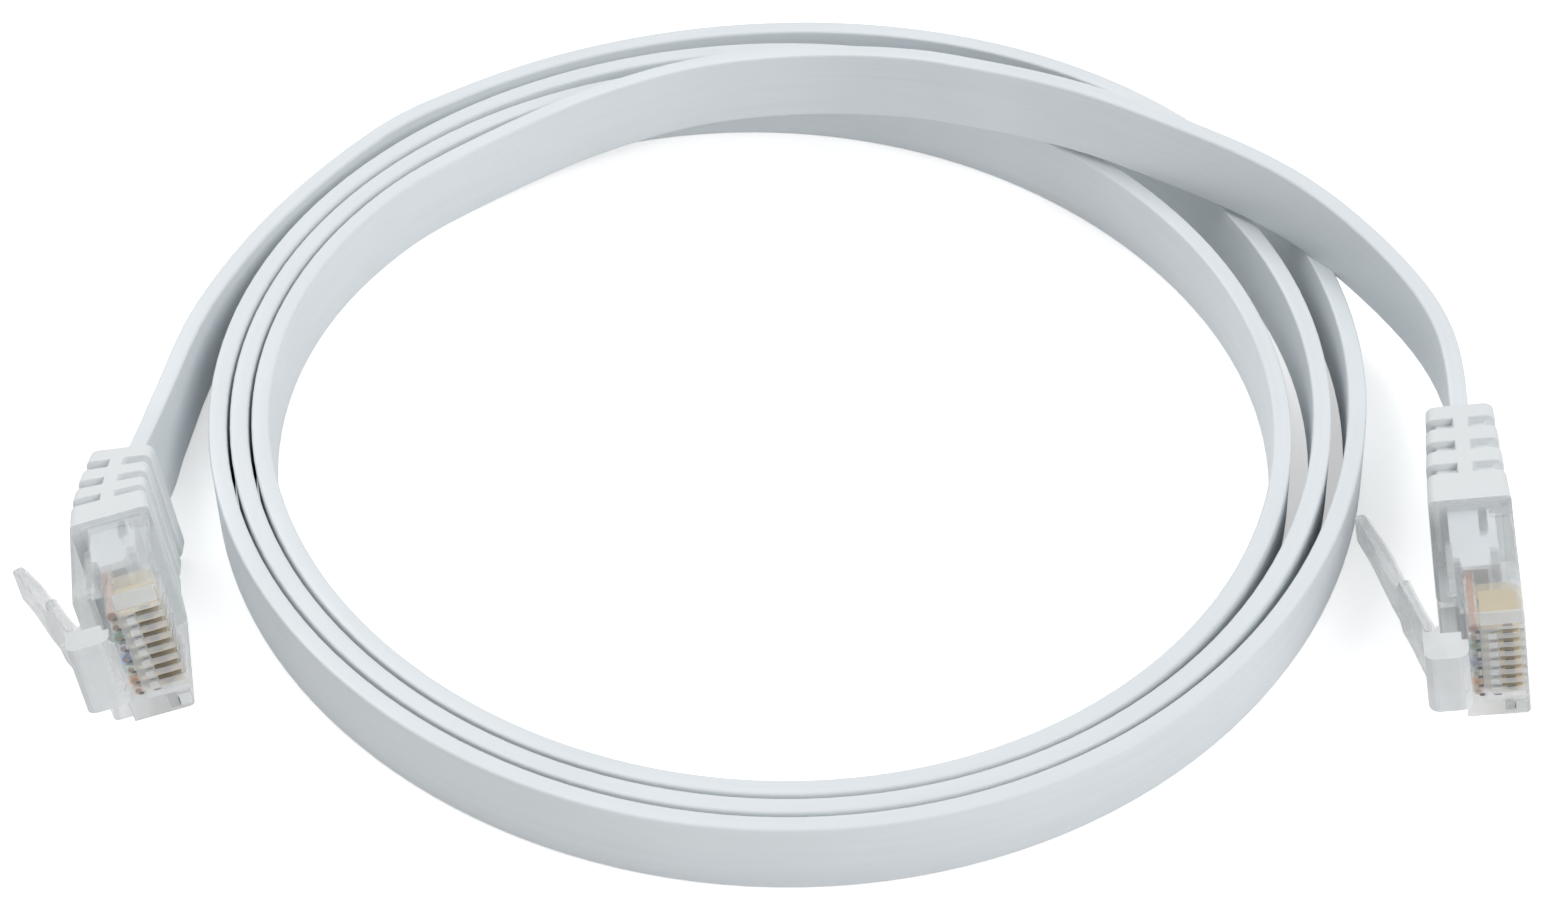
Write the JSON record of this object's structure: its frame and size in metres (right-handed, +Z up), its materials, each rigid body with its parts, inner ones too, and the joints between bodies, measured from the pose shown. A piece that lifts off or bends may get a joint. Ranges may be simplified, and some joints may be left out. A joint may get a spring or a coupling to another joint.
{
  "type": "ethernet patch cable",
  "caption": "Flat network patch cable wound in a loose coil on its narrow edge, with a clear modular plug, sprung latch and ribbed strain-relief boot on each end.",
  "frame": {"origin": "on the surface the cable lies on, midway between the two plugs", "axes": "+Z up, +X from the left plug to the right plug, +Y from the plugs towards the coil's far side"},
  "size_m": [0.1253, 0.0993, 0.0184],
  "materials": {
    "jacket": "smooth soft white PVC with a slight blue-grey tint",
    "clear_plastic": "clear moulded polycarbonate",
    "latch_plastic": "clear moulded polycarbonate, lightly frosted",
    "boot": "smooth satin white moulding",
    "inner_mould": "satin white moulding",
    "gold_contact": "gold plated, polished",
    "copper": "bare drawn copper",
    "wire_orange_white": "white insulation with an orange stripe",
    "wire_orange": "orange insulation",
    "wire_green_white": "white insulation with a green stripe",
    "wire_blue": "blue insulation",
    "wire_blue_white": "white insulation with a blue stripe",
    "wire_green": "green insulation",
    "wire_brown_white": "white insulation with a brown stripe",
    "wire_brown": "brown insulation"
  },
  "bodies": {
    "cable": {"lead_a": "jacket", "coil": "jacket", "lead_b": "jacket", "a_housing": "clear_plastic", "a_boot": "boot", "a_inner_mould": "inner_mould", "a_wire_cores": "copper", "a_contact_1": "gold_contact", "a_contact_2": "gold_contact", "a_contact_3": "gold_contact", "a_contact_4": "gold_contact", "a_contact_5": "gold_contact", "a_contact_6": "gold_contact", "a_contact_7": "gold_contact", "a_contact_8": "gold_contact", "a_wire_1": "wire_orange_white", "a_wire_2": "wire_orange", "a_wire_3": "wire_green_white", "a_wire_4": "wire_blue", "a_wire_5": "wire_blue_white", "a_wire_6": "wire_green", "a_wire_7": "wire_brown_white", "a_wire_8": "wire_brown", "b_housing": "clear_plastic", "b_boot": "boot", "b_inner_mould": "inner_mould", "b_wire_cores": "copper", "b_contact_1": "gold_contact", "b_contact_2": "gold_contact", "b_contact_3": "gold_contact", "b_contact_4": "gold_contact", "b_contact_5": "gold_contact", "b_contact_6": "gold_contact", "b_contact_7": "gold_contact", "b_contact_8": "gold_contact", "b_wire_1": "wire_orange_white", "b_wire_2": "wire_orange", "b_wire_3": "wire_green_white", "b_wire_4": "wire_blue", "b_wire_5": "wire_blue_white", "b_wire_6": "wire_green", "b_wire_7": "wire_brown_white", "b_wire_8": "wire_brown"},
    "latch_a": {"a_latch": "latch_plastic"},
    "latch_b": {"b_latch": "latch_plastic"}
  },
  "joints": [
    {"name": "latch_a_press", "type": "hinge", "parent": "cable", "child": "latch_a", "pos_m": [-0.05475, -0.00992, 0.01139], "axis": [0.1881, -0.2623, -0.9465], "range_deg": [0, 12], "stiffness_Nm_per_rad": 0.02},
    {"name": "latch_b_press", "type": "hinge", "parent": "cable", "child": "latch_b", "pos_m": [0.05328, -0.01041, 0.00652], "axis": [0.1369, -0.0588, -0.9888], "range_deg": [0, 12], "stiffness_Nm_per_rad": 0.02}
  ]
}
